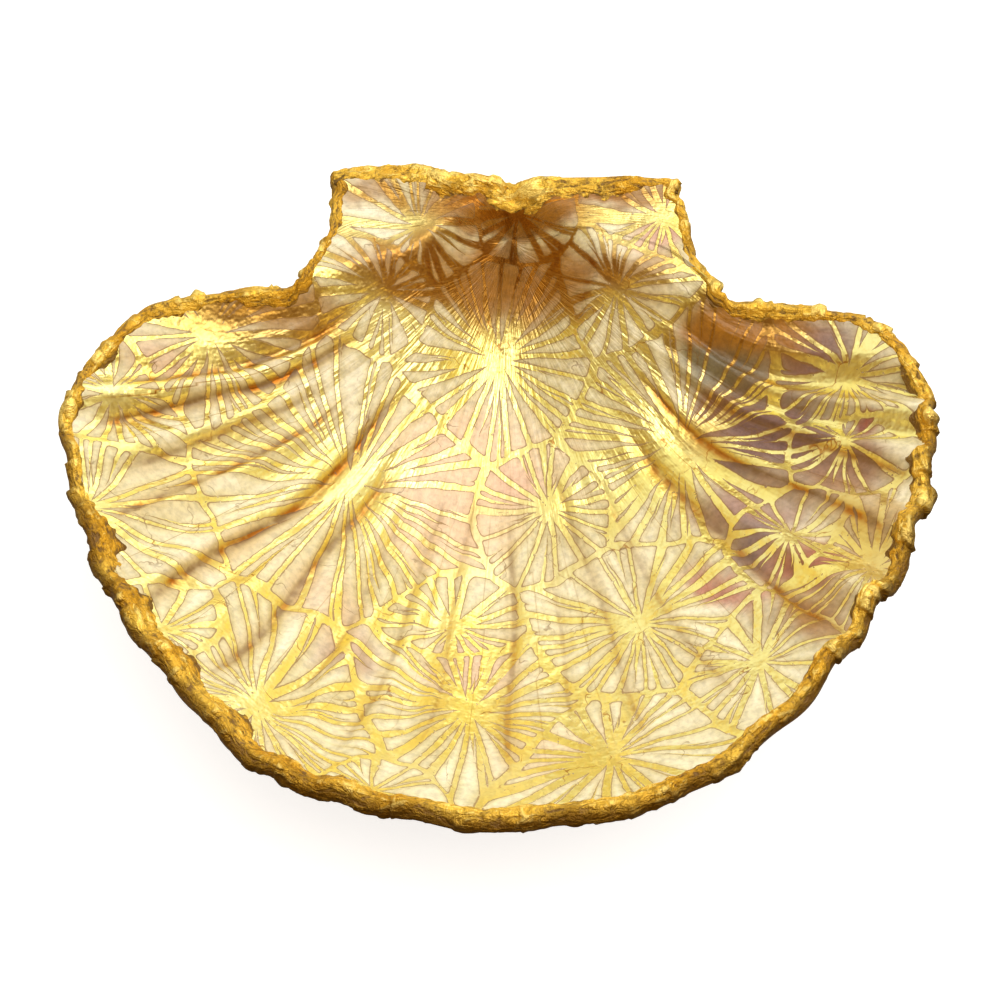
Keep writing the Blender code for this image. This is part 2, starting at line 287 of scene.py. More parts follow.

# Patches of colour in the paper, two of them painted shadow under the leaf at the right and left shoulders: plan
# place, radii, turn in degrees, colour and strength
PAPER_PATCHES = (
    ((-3, 16), (17, 11), 0, (244, 208, 178), 0.75),
    ((-8, 4), (12, 9), 0, (240, 202, 172), 0.6),
    ((3, 12), (5, 6), 0, (226, 178, 156), 0.5),
    ((-21, -22), (8, 5.5), 35, (188, 158, 140), 0.8),
    ((-24, -14), (6, 9), 20, (222, 192, 160), 0.6),
    ((-3, -23), (8, 10), 0, (222, 184, 164), 0.65),
    ((-36, -8), (10, 7), 0, (228, 210, 168), 0.6),
    ((-50, 21), (6, 4), 0, (236, 200, 176), 0.6),
    ((-48, -2), (9, 8), 0, (222, 208, 160), 0.6),
    ((41, 13), (15, 11), -35, (118, 82, 78), 0.95),
    ((47, 24), (11, 5.5), -10, (126, 88, 84), 0.92),
    ((37, 1), (12, 6), -25, (160, 120, 112), 0.88),
    ((36.5, -6), (7, 5), -30, (124, 92, 98), 0.85),
    ((50, 4), (10, 7), -20, (146, 104, 78), 0.88),
    ((33, -12), (9, 3.2), -42, (188, 122, 108), 0.9),
    ((44, -11), (8, 5), -35, (160, 88, 66), 0.9),
    ((43, -21), (10, 5), -42, (140, 98, 48), 0.85),
    ((52.3, 11), (2.6, 1.7), -20, (142, 52, 40), 0.85),
    ((33, 25), (9, 6), -25, (98, 84, 54), 0.9),
    ((34.5, 19), (3, 6), -50, (98, 70, 66), 0.8),
    ((54, -7), (4.5, 5), 0, (196, 176, 122), 0.8),
    # Painted shadow of the leaf, just under the rim at the right and left shoulders
    ((38, 31), (11, 3.6), -12, (112, 78, 28), 0.95),
    ((-36, 31.5), (13, 3.2), 6, (160, 124, 54), 0.8),
    ((25.6, 46), (6.5, 5), 30, (216, 160, 146), 0.75),
    ((30, -40), (12, 8), 0, (226, 216, 176), 0.6),
    ((9, -40), (12, 8), 0, (232, 204, 172), 0.5),
)

# Where a second layer of tissue half hides the gold: plan place, radii, turn in degrees and strength
SECOND_LAYERS = (
    ((0, 3), (13, 7), 10, 0.62),
    ((13, -2), (8, 9), 0, 0.5),
    ((-20, 30), (9, 5), 20, 0.3),
    ((-38, 12), (9, 5), 20, 0.3),
    ((-6, -44), (12, 5), 0, 0.35),
)

# Brown glazing, partly painted shade, at the umbo, under the hinge and on the right: plan place, radii, turn in
# degrees and strength
GLAZE_AND_SHADE_PATCHES = (
    ((2, 50), (18, 6.5), 0, 0.95),
    ((2, 42), (24, 8), 0, 0.75),
    ((20, 37), (12, 6), 8, 0.5),
    ((-15, 37), (12, 6), -8, 0.55),
    ((37, 28), (14, 5), -16, 0.8),
    ((-32, 31), (14, 4.5), 6, 0.5),
    ((22, 51), (9, 4), 0, 0.6),
    ((-20, 51.5), (8, 3.5), 0, 0.5),
    ((44, -20), (9, 6), -42, 0.4),
    ((7, 52.5), (26, 3.4), 0, 0.85),
    ((33, 18), (5, 9), -40, 0.35),
    ((54, -10), (9, 20), 20, 0.35),
    ((34, -48), (16, 6), 28, 0.2),
)

# Where the printed gold is painted browner as painted shade: plan place, radii, turn in degrees, colour and
# strength
FOIL_PAINTED_SHADES = (
    ((2, 46), (19, 9), 0, (158, 98, 20), 0.85),
    ((-15, 50.5), (9, 5), 0, (160, 104, 24), 0.7),
    ((13, 40), (16, 9), 12, (166, 108, 28), 0.75),
    ((-14, 38), (18, 8), -10, (166, 108, 28), 0.75),
    ((-40, 29), (14, 5), 10, (172, 120, 40), 0.6),
    ((32, 27), (12, 6), -20, (150, 98, 26), 0.8),
    ((38, 31), (11, 3.6), -12, (140, 92, 20), 0.85),
    ((-36, 31.5), (13, 3.2), 6, (168, 118, 34), 0.7),
    ((8, 52.5), (24, 3), 0, (156, 100, 20), 0.75),
)

# Colours as they look on a screen, 0 to 255
PAPER, PAPER_PALE, PAPER_LIT = (224, 215, 168), (240, 233, 198), (250, 244, 224)
PAPER_AGED, PAPER_STREAK, PAPER_FINGER = (206, 192, 142), (196, 180, 124), (196, 178, 134)
PAPER_BESIDE_GOLD, PAPER_OUTLINE = (190, 164, 112), (136, 96, 36)
# The crease colour is partly a brown mark of the fold and partly painted shade in its valley; the crease shade is
# painted shade beside each crease
PAPER_CREASE, PAPER_FOLD, PAPER_GLAZE_AND_SHADE = (116, 78, 24), (122, 88, 42), (164, 108, 12)
CREASE_SHADE = (224, 206, 172)
PAPER_ROUGHNESS, FOIL_ROUGHNESS = 0.46, (0.28, 0.44)
FOIL, FOIL_PALE, FOIL_WORN = (255, 241, 142), (255, 248, 170), (240, 200, 96)
# The foil's crease colour is partly a brown mark of the fold and partly painted shade in its valley
FOIL_CREASE, FOIL_FOLD, FOIL_GLAZE_AND_SHADE = (176, 108, 34), (178, 112, 36), (186, 114, 10)
SHELL, SHELL_TAN, SHELL_BAND = (238, 226, 206), (212, 172, 142), (184, 128, 102)
SHELL_RIBLET, SHELL_CHALK, SHELL_LINE = (226, 204, 176), (244, 238, 226), (140, 108, 84)
LEAF, LEAF_YELLOW, LEAF_HIGHLIGHT = (212, 160, 42), (242, 200, 80), (255, 230, 134)
# The leaf's underside colour is painted shade
LEAF_CREVICE, LEAF_CREASE, LEAF_UNDERSIDE_SHADE = (100, 66, 8), (112, 76, 10), (118, 82, 12)


def smooth_step(low, high, x):
    t = np.clip((x - low) / (high - low), 0.0, 1.0)
    return t * t * (3.0 - 2.0 * t)


def lower_of(a, b, blend):
    """The lower of two heights, with the fold between them rounded over the blend."""
    share = np.clip(0.5 + 0.5 * (b - a) / blend, 0.0, 1.0)
    return b + (a - b) * share - blend * share * (1.0 - share)


def hump(x, y, place, spread):
    """A round hump of height 1 at a place."""
    return np.exp(-(((x - place[0]) / spread[0]) ** 2) - ((y - place[1]) / spread[1]) ** 2)


def through(points, share):
    """Places at these shares of the length of a smooth curve through the points."""
    knots = np.array(points, float)
    ends = np.vstack([2 * knots[0] - knots[1], knots, 2 * knots[-1] - knots[-2]])
    fine = []
    for before, start, end, after in zip(ends[:-3], ends[1:-2], ends[2:-1], ends[3:]):
        t = np.linspace(0.0, 1.0, 24, endpoint=False)[:, None]
        linear = end - before
        square = 2 * before - 5 * start + 4 * end - after
        cube = 3 * start - before - 3 * end + after
        fine.append(start + 0.5 * (linear * t + square * t**2 + cube * t**3))
    fine = np.vstack([*fine, knots[-1:]])
    length = np.concatenate([[0.0], np.cumsum(np.linalg.norm(np.diff(fine, axis=0), axis=1))])
    at = np.asarray(share) * length[-1]
    return np.stack([np.interp(at, length, fine[:, axis]) for axis in (0, 1)], axis=-1)


def fan(place):
    """The angle and distance of places from the umbo, with angle 0 towards the front margin."""
    across, down = place[..., 0] - UMBO[0], UMBO[1] - place[..., 1]
    return np.degrees(np.arctan2(across, down)), np.hypot(across, down)


def unfan(angle, reach):
    turn = np.radians(angle)
    return np.stack([UMBO[0] + reach * np.sin(turn), UMBO[1] - reach * np.cos(turn)], axis=-1)


def crest_reach(angle):
    return np.interp(np.abs(angle), CREST_ANGLES_DEG, CREST_REACHES)


def columns(counts):
    """Each column's margin place, lane (its angle at the margin) and bend, clockwise from the hinge.

    The flanks, where the margin runs nearly straight away from the umbo, have lanes past the last rib.
    """
    hinge_count, ear_count, flank_count, rib_count = counts
    share = np.linspace(0.0, 1.0, 900)
    angle, _ = fan(through(DISC_MARGIN, share))
    edges = np.array(RIB_EDGES_DEG)
    ribs = len(edges) - 1
    ribbed_lane = np.interp(np.linspace(ribs, 0.0, ribs * rib_count + 1), np.arange(ribs + 1), edges)
    widest, narrowest = np.argmax(angle), np.argmin(angle)
    single = slice(widest, narrowest + 1)
    ribbed = np.interp(-ribbed_lane, -angle[single], share[single])
    flank = np.linspace(0.0, 1.0, flank_count + 1)[1:-1]
    right_flank = ribbed[0] * flank
    left_flank = ribbed[-1] + (1.0 - ribbed[-1]) * flank
    right_lane = NOTCH_LANE_DEG + (edges[-1] - NOTCH_LANE_DEG) * flank
    left_lane = edges[0] + (-NOTCH_LANE_DEG - edges[0]) * flank
    disc = through(DISC_MARGIN, np.concatenate([right_flank, ribbed, left_flank]))
    disc_lane = np.concatenate([right_lane, ribbed_lane, left_lane])
    disc_bend = SIDE_BEND * smooth_step(*BENT_BETWEEN_DEG, np.abs(disc_lane))

    hinge = through(HINGE_LINE, np.linspace(0.0, 1.0, hinge_count, endpoint=False))
    right_ear = through(RIGHT_EAR_EDGE, np.linspace(0.0, 1.0, ear_count))
    left_ear = through(LEFT_EAR_EDGE, np.linspace(0.0, 1.0, ear_count))[:-1]

    def with_ear_bend(place):
        lane = fan(place)[0]
        return lane, NOTCH_BEND * (1.0 - smooth_step(NOTCH_LANE_DEG, 90.0, np.abs(lane)))

    before, after = np.vstack([hinge, right_ear]), left_ear
    lane_before, bend_before = with_ear_bend(before)
    lane_after, bend_after = with_ear_bend(after)
    margin = np.vstack([before, disc, after])
    lane = np.concatenate([lane_before, disc_lane, lane_after])
    bend = np.concatenate([bend_before, disc_bend, bend_after])
    return margin, lane, bend


def along_column(margin, bend, share):
    """Plan places at shares of the way from the umbo, on columns that bow towards the front."""
    umbo = np.array(UMBO)
    outward = margin - umbo
    length = np.linalg.norm(outward, axis=-1, keepdims=True)
    side = np.sign(outward[..., :1])
    frontward = side * np.stack([outward[..., 1], -outward[..., 0]], axis=-1) / length
    share = np.asarray(share)[..., None]
    bow = 2.0 * share * (1.0 - share) * np.asarray(bend)[..., None]
    return umbo + outward * share + frontward * bow


def nearest_crease(lane, share, reach):
    """How far places are across the nearest crease, in millimetres to either side, and its strength there."""
    away = np.full(lane.shape, 99.0)
    strength = np.zeros(lane.shape)
    for crease_lane, start, end, most in CREASES:
        sway = CREASE_SWAY_DEG * np.sin(CREASE_SWAY_PER_MM * reach + crease_lane)
        across = np.radians(lane - crease_lane - sway) * reach
        within = smooth_step(start, start + 0.12, share) * (1.0 - smooth_step(end - 0.08, end, share))
        closer = np.abs(across) < np.abs(away)
        away = np.where(closer, across, away)
        strength = np.where(closer, most * within, strength)
    return away, strength


def rib_relief(lane, share, starts, power):
    """How far the ribs push the wall outwards, at a share of the way from umbo to margin."""
    edges = np.array(RIB_EDGES_DEG)
    phase = np.interp(lane, edges, np.arange(len(edges)))
    wave = 1.0 - 2.0 * np.abs(np.cos(np.pi * phase)) ** RIDGE_NARROWING
    flank = smooth_step(*FLANK_FADE_DEG, np.abs(lane))
    strength = np.interp(lane, *np.transpose(RIB_STRENGTH))
    grown = np.clip((share - starts) / (1.0 - starts), 0.0, 1.0) ** power
    filled = 1.0 - np.interp(lane, *np.transpose(RIM_FILL)) * smooth_step(RIM_FILL_FROM, 1.0, share)
    return RIB_HEIGHT * strength * grown * (1.0 - flank) * wave * filled


class Bowl:
    """The smooth valve without its ribs, as heights over the plan."""

    def __init__(self):
        share = np.linspace(0.0, 1.0, 400)
        left, right = (through(edge, 1.0) for edge in (DISC_MARGIN, RIGHT_EAR_EDGE))
        turn = np.linspace(NOTCH_LANE_DEG, 360.0 - NOTCH_LANE_DEG, 120)
        crest = unfan(turn, crest_reach(180.0 - np.abs(180.0 - turn)))
        along = np.linspace(0.45, 1.0, 40)
        to_crest = along_column(right, NOTCH_BEND, along)
        from_crest = along_column(left, NOTCH_BEND, along)
        closed = np.vstack([through(DISC_MARGIN, share), to_crest, crest, from_crest])
        across, ahead = closed[:, 0] - DEEPEST[0], closed[:, 1] - DEEPEST[1]
        angle = np.arctan2(ahead, across)
        order = np.argsort(angle)
        self.angle = angle[order]
        self.reach = np.hypot(across, ahead)[order]

    def hollow(self, x, y):
        across, ahead = x - DEEPEST[0], y - DEEPEST[1]
        angle = np.arctan2(ahead, across)
        reach = np.interp(angle, self.angle, self.reach, period=2.0 * np.pi)
        share = np.hypot(across, ahead) / reach
        cone = (np.sqrt(share**2 + CONE_SOFTNESS**2) - CONE_SOFTNESS) / (
            np.sqrt(1.0 + CONE_SOFTNESS**2) - CONE_SOFTNESS
        )
        sideways = np.cos(angle) ** 2
        back = BACK_SHARE * smooth_step(*BACK_BETWEEN_SINES, np.sin(angle))
        bowl = (1.0 - back) * share**FRONT_POWER + back * share**BACK_POWER
        rise = sideways * cone + (1.0 - sideways) * bowl
        return HOLLOW_DEPTH * (rise - 1.0)

    def ears(self, x, y):
        side = np.abs(x - UMBO[0])
        lip = HINGE_LIP * smooth_step(*HINGE_LIP_BETWEEN_Y, y)
        dish = EAR_DISH * hump(side, y, EAR_DISH_PLACE, EAR_DISH_SPREAD)
        pit = PAD_PIT * hump(side, y, (0.0, PAD_PIT_Y), PAD_PIT_SPREAD)
        past = np.clip(side - EARS_WITHIN_X, 0.0, None) + np.clip(EARS_BEHIND_Y - y, 0.0, None)
        return lip + RISE_PAST_EARS * past - EAR_DROP - dish - pit

    def height(self, x, y):
        return lower_of(self.ears(x, y), self.hollow(x, y), CREST_ROUNDING)

    def steepness(self, x, y):
        """How much longer the wall is up and down than across."""
        step = 0.8
        east = (self.height(x + step, y) - self.height(x - step, y)) / (2.0 * step)
        north = (self.height(x, y + step) - self.height(x, y - step)) / (2.0 * step)
        return np.sqrt(1.0 + east**2 + north**2)


BOWL = Bowl()


def full_face_shares(margin, lane, steps):
    """Shares of the way from the umbo for rings over a whole face."""
    _, margin_reach = fan(margin)
    crest = crest_reach(lane)
    inside = crest * np.array(CREST_RING_SHARES)[:, None]
    rings_beyond = steps + 1 - len(CREST_RING_SHARES)
    beyond = crest + (margin_reach - crest) * np.linspace(0.0, 1.0, rings_beyond + 1)[1:, None]
    return np.vstack([inside, beyond]) / margin_reach


def untangled(plan, counts):
    """A face's plan with its columns spread evenly between the hinge's ends and the first rib of each side.

    Straight columns would cross there, because the margin doubles back behind the ears' notches.
    """
    hinge_count, ear_count, flank_count, rib_count = counts
    ribbed_from = hinge_count + ear_count + flank_count - 1
    ribbed_to = ribbed_from + (len(RIB_EDGES_DEG) - 1) * rib_count
    spans = (
        (hinge_count + 1, ribbed_from + rib_count),
        (ribbed_to - rib_count, plan.shape[1] - 1),
    )
    for first, last in spans:
        part = plan[:, first : last + 1].copy()
        for _ in range(SPREADING_ROUNDS):
            beside = part[1:-1, :-2] + part[1:-1, 2:]
            part[1:-1, 1:-1] = (part[:-2, 1:-1] + part[2:, 1:-1] + beside) / 4.0
        for _ in range(UNFOLDING_ROUNDS):
            by_ring, by_column = part[2:, 1:-1] - part[:-2, 1:-1], part[1:-1, 2:] - part[1:-1, :-2]
            ring_weight = (by_column**2).sum(axis=-1, keepdims=True)
            column_weight = (by_ring**2).sum(axis=-1, keepdims=True)
            shear = (by_ring * by_column).sum(axis=-1, keepdims=True)
            corners = part[2:, 2:] - part[2:, :-2] - part[:-2, 2:] + part[:-2, :-2]
            moved = ring_weight * (part[2:, 1:-1] + part[:-2, 1:-1])
            moved += column_weight * (part[1:-1, 2:] + part[1:-1, :-2]) - 0.5 * shear * corners
            moved /= 2.0 * (ring_weight + column_weight) + 1e-12
            part[1:-1, 1:-1] += 0.9 * (moved - part[1:-1, 1:-1])
        plan[:, first : last + 1] = part
    return plan


class Rim:
    """The margin with its waves: the outer edge, the inner edge and the rim's section at each column."""

    def __init__(self, counts):
        margin, self.lane, self.bend = columns(counts)
        along = np.roll(margin, -1, axis=0) - np.roll(margin, 1, axis=0)
        away = np.stack([-along[:, 1], along[:, 0]], axis=-1)
        self.away = away / np.linalg.norm(away, axis=1, keepdims=True)
        self.slope = BOWL.steepness(margin[:, 0], margin[:, 1])
        self.tilt = np.sqrt(1.0 - 1.0 / self.slope**2)
        wave = rib_relief(self.lane, 1.0, 0.0, 1.0) * self.tilt
        self.outer_edge = margin + self.away * (wave - RIM_BULGE / self.slope)[:, None]
        self.inner_edge = self.outer_edge - self.away * (WALL * self.tilt)[:, None]

    def over(self, inner, outer, rings):
        """Places over the rim's rounded edge, between the last inner place and the last outer one."""
        places = []
        for ring in range(1, rings):
            share = ring / rings
            bulge = RIM_BULGE * np.sin(np.pi * share)
            place = (1.0 - share) * inner + share * outer
            place[:, :2] += self.away * (bulge / self.slope)[:, None]
            place[:, 2] += bulge * self.tilt
            places.append(place)
        return np.array(places)


def face(plan, lane, share, is_outer):
    """A face's places over its plan, with its ribs."""
    x, y = plan[..., 0], plan[..., 1]
    if is_outer:
        relief = rib_relief(lane, share, OUTER_RIBS_FROM, OUTER_RIB_POWER)
        relief = relief + WALL + UMBO_WALL_EXTRA * smooth_step(*UMBO_WALL_BETWEEN_Y, y)
    else:
        relief = rib_relief(lane, share, INNER_RIBS_FROM, INNER_RIB_POWER)
    return np.dstack([plan, BOWL.height(x, y) - BOWL.steepness(x, y) * relief])


def shell_skin():
    """Places over the inner face, the rim and the outer face, ring by ring, with shares and lanes."""
    rim = Rim(SHELL_COLUMNS)
    inner_share = full_face_shares(rim.inner_edge, rim.lane, INNER_RINGS)
    outer_share = full_face_shares(rim.outer_edge, rim.lane, OUTER_RINGS)
    inner_plan = untangled(along_column(rim.inner_edge, rim.bend, inner_share), SHELL_COLUMNS)
    outer_plan = untangled(along_column(rim.outer_edge, rim.bend, outer_share), SHELL_COLUMNS)
    inner = face(inner_plan, rim.lane, inner_share, False)
    outer = face(outer_plan, rim.lane, outer_share, True)
    rings = np.vstack([inner, rim.over(inner[-1], outer[-1], RIM_RINGS), outer[::-1]])
    shares = np.vstack([inner_share, np.ones((RIM_RINGS - 1, len(rim.lane))), outer_share[::-1]])
    return rings, shares, rim.lane


def leaf_skin(rim, inward, under):
    """Places of a band over the rim, ring by ring: inward on the inner face and under on the outer one."""
    lane = rim.lane

    def strip(edge, width, count, is_outer):
        back = np.linspace(1.0, 0.0, count + 1)[:, None] * width
        plan = edge - rim.away * back[..., None]
        share = 1.0 - back / fan(edge)[1]
        return face(plan, lane, share, is_outer)

    inner = strip(rim.inner_edge, inward, LEAF_INNER_RINGS, False)
    outer = strip(rim.outer_edge, under, LEAF_OUTER_RINGS, True)
    return np.vstack([inner, rim.over(inner[-1], outer[-1], LEAF_RIM_RINGS), outer[::-1]])


SHELL_RINGS, SHELL_SHARES, SHELL_LANE = shell_skin()
FOOT = SHELL_RINGS[..., 2].min() + FOOT_WEAR


def into_frame(place):
    """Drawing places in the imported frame: the solid's outline gives shifts in plan, the foot that in height."""
    low, high = (np.array(corner) / MM for corner in cad_box)
    drawn = SHELL_RINGS.reshape(-1, 3)
    middle = (drawn.min(axis=0) + drawn.max(axis=0)) / 2.0
    shift = np.array([(low[0] + high[0]) / 2.0 - middle[0], (low[1] + high[1]) / 2.0 - middle[1], -FOOT])
    return (place + shift) * MM


def unrolled(x, y, samples=24):
    """Places on the tissue before it was pressed in: distance from the deepest point, along the wall."""
    across, ahead = x - DEEPEST[0], y - DEEPEST[1]
    plan = np.hypot(across, ahead)
    steps = np.linspace(0.0, 1.0, samples + 1)
    heights = [BOWL.height(DEEPEST[0] + across * t, DEEPEST[1] + ahead * t) for t in steps]
    rise = np.diff(np.array(heights), axis=0)
    length = np.sqrt(rise**2 + (plan / samples) ** 2).sum(axis=0)
    grow = np.where(plan > 0.0, length / np.maximum(plan, 1e-6), 1.0)
    return across * grow, ahead * grow


def grid_mesh(name, rings):
    """A closed-round skin over rings of places, in metres in the frame. Rings run inside to outside."""
    count, around = rings.shape[:2]
    mesh = bpy.data.meshes.new(name)
    ring, column = np.meshgrid(np.arange(count - 1), np.arange(around), indexing="ij")
    following = (column + 1) % around
    corners = [ring * around + column, ring * around + following]
    corners += [(ring + 1) * around + following, (ring + 1) * around + column]
    faces = np.stack(corners, axis=-1).reshape(-1, 4)
    mesh.from_pydata(into_frame(rings).reshape(-1, 3).tolist(), [], faces.tolist())
    mesh.shade_smooth()
    return mesh


def add_places(mesh, name, values):
    attribute = mesh.attributes.new(name, "FLOAT_VECTOR", "POINT")
    attribute.data.foreach_set("vector", np.ascontiguousarray(values, np.float32).ravel())


def linked(name, mesh):
    obj = bpy.data.objects.new(name, mesh)
    bpy.context.scene.collection.objects.link(obj)
    return obj


def surface_normals(rings):
    """Outward normals of a round skin's places."""
    along = np.roll(rings, -1, axis=1) - np.roll(rings, 1, axis=1)
    over = np.gradient(rings, axis=0)
    normal = np.cross(along, over)
    return normal / np.maximum(np.linalg.norm(normal, axis=-1, keepdims=True), 1e-9)


def noise_at(places, kind, scale):
    """One value for each place. kind is a function of a scaled place."""
    flat = places.reshape(-1, 3)
    values = [kind(Vector((p[0] * scale[0], p[1] * scale[1], p[2] * scale[2]))) for p in flat.tolist()]
    return np.array(values).reshape(places.shape[:-1])


def on_plane(x, y):
    return np.dstack([x, y, np.zeros_like(x)])


def fractal(place):
    return noise.fractal(place, 0.9, 2.1, 3)


def strand(place):
    return noise.ridged_multi_fractal(place, 0.9, 2.2, 3, 1.0, 2.0)


def patch_share(x, y, centre, radii, turn_deg):
    """1 within a patch of the tissue, fading out past it."""
    middle_x, middle_y = unrolled(np.array(centre[0]), np.array(centre[1]))
    turn = math.radians(turn_deg)
    across, ahead = x - middle_x, y - middle_y
    along = (across * math.cos(turn) + ahead * math.sin(turn)) / radii[0]
    beside = (ahead * math.cos(turn) - across * math.sin(turn)) / radii[1]
    return 1.0 - smooth_step(*PATCH_FADES, np.hypot(along, beside))


def strongest(x, y, patches):
    """The greatest strength that any of the patches has at places on the tissue."""
    strength = np.zeros_like(x)
    for centre, radii, turn_deg, most in patches:
        strength = np.maximum(strength, most * patch_share(x, y, centre, radii, turn_deg))
    return strength


def layered(x, y, patches):
    """Patches of colour laid over each other: their colour times their cover, and their cover."""
    tint, cover = np.zeros((*x.shape, 3)), np.zeros_like(x)
    for centre, radii, turn_deg, patch_colour, most in patches:
        mask = most * patch_share(x, y, centre, radii, turn_deg)
        tint = tint + (np.array(colour(*patch_colour)[:3]) - tint) * mask[..., None]
        cover = cover + (1.0 - cover) * mask
    return tint, cover


def build_shell():
    rings = SHELL_RINGS.copy()
    outside = INNER_RINGS + RIM_RINGS // 2
    x, y = rings[..., 0], rings[..., 1]
    print_x, print_y = unrolled(x, y)
    _, reach = fan(rings[..., :2])
    lane = np.broadcast_to(SHELL_LANE, reach.shape)
    over_print = on_plane(print_x, print_y)
    wrinkles = noise_at(on_plane(lane, reach), fractal, WRINKLE_WAVES)
    crumples = noise_at(over_print, noise.noise, CRUMPLE_WAVES)
    growth = noise_at(on_plane(lane, SHELL_SHARES), noise.noise, GROWTH_WAVES)
    away, crease = nearest_crease(lane, SHELL_SHARES, reach)
    creased = CREASE_DEPTH * crease * np.exp(-((away / CREASE_HALF_WIDTH) ** 2))
    inner_lift = WRINKLE_HEIGHT * wrinkles + CRUMPLE_HEIGHT * crumples - creased
    is_inner = (np.arange(rings.shape[0]) < outside)[:, None]
    lift = np.where(is_inner, inner_lift, GROWTH_HEIGHT * growth)
    lift *= smooth_step(*RELIEF_FROM_REACHES, reach) * (1.0 - smooth_step(*RELIEF_TO_SHARES, SHELL_SHARES))
    rings = rings + surface_normals(rings) * lift[..., None]
    rings[..., 2] = np.maximum(rings[..., 2], FOOT)
    mesh = grid_mesh("shell", rings)
    add_places(mesh, "print_place", np.dstack([print_x, print_y, rings[..., 2]]))
    add_places(mesh, "rib_place", np.dstack([lane, reach, SHELL_SHARES]))
    ragged_x, ragged_y = print_x.copy(), print_y.copy()
    for scale, spread in RAGGED_BY:
        for ragged, layer in ((ragged_x, 5.0), (ragged_y, 9.0)):
            ragged += spread * noise_at(over_print + (0.0, 0.0, layer), noise.noise, (scale, scale, 1.3))
    # Patches of paper colour, two of them painted shadow under the leaf
    colour_and_shadow, colour_and_shadow_cover = layered(ragged_x, ragged_y, PAPER_PATCHES)
    # Painted shade on the foil
    shade, shaded = layered(ragged_x, ragged_y, FOIL_PAINTED_SHADES)
    add_places(mesh, "paper_colour_and_shadow", colour_and_shadow)
    add_places(mesh, "foil_painted_shade", shade)
    add_places(mesh, "covers", np.dstack([colour_and_shadow_cover, shaded, strongest(ragged_x, ragged_y, GLAZE_AND_SHADE_PATCHES)]))
    add_places(mesh, "crease_place", np.dstack([away, crease, strongest(ragged_x, ragged_y, SECOND_LAYERS)]))
    is_outside = np.repeat(np.arange(rings.shape[0] - 1) >= outside, rings.shape[1])
    mesh.materials.append(tissue_material())
    mesh.materials.append(outer_shell_material())
    mesh.polygons.foreach_set("material_index", is_outside.astype(np.int32))
    return linked("printed_valve", mesh)


def leaf_width(along, low, high, seed):
    """How far the leaf reaches at each column, ragged between two widths."""
    places = np.stack([along * 0.11, along * 0.0 + seed, along * 0.0], axis=-1)
    slow = noise_at(places, noise.noise, (1.0, 1.0, 1.0))
    fast = noise_at(places, noise.noise, (6.0, 1.0, 1.0))
    return low + (high - low) * np.clip(0.5 + 0.75 * slow + 0.4 * fast, 0.0, 1.0)


def facet(place):
    """0 along the creases between facets and higher within each."""
    near = noise.voronoi(place)[0]
    return min(near[1] - near[0], 0.6)


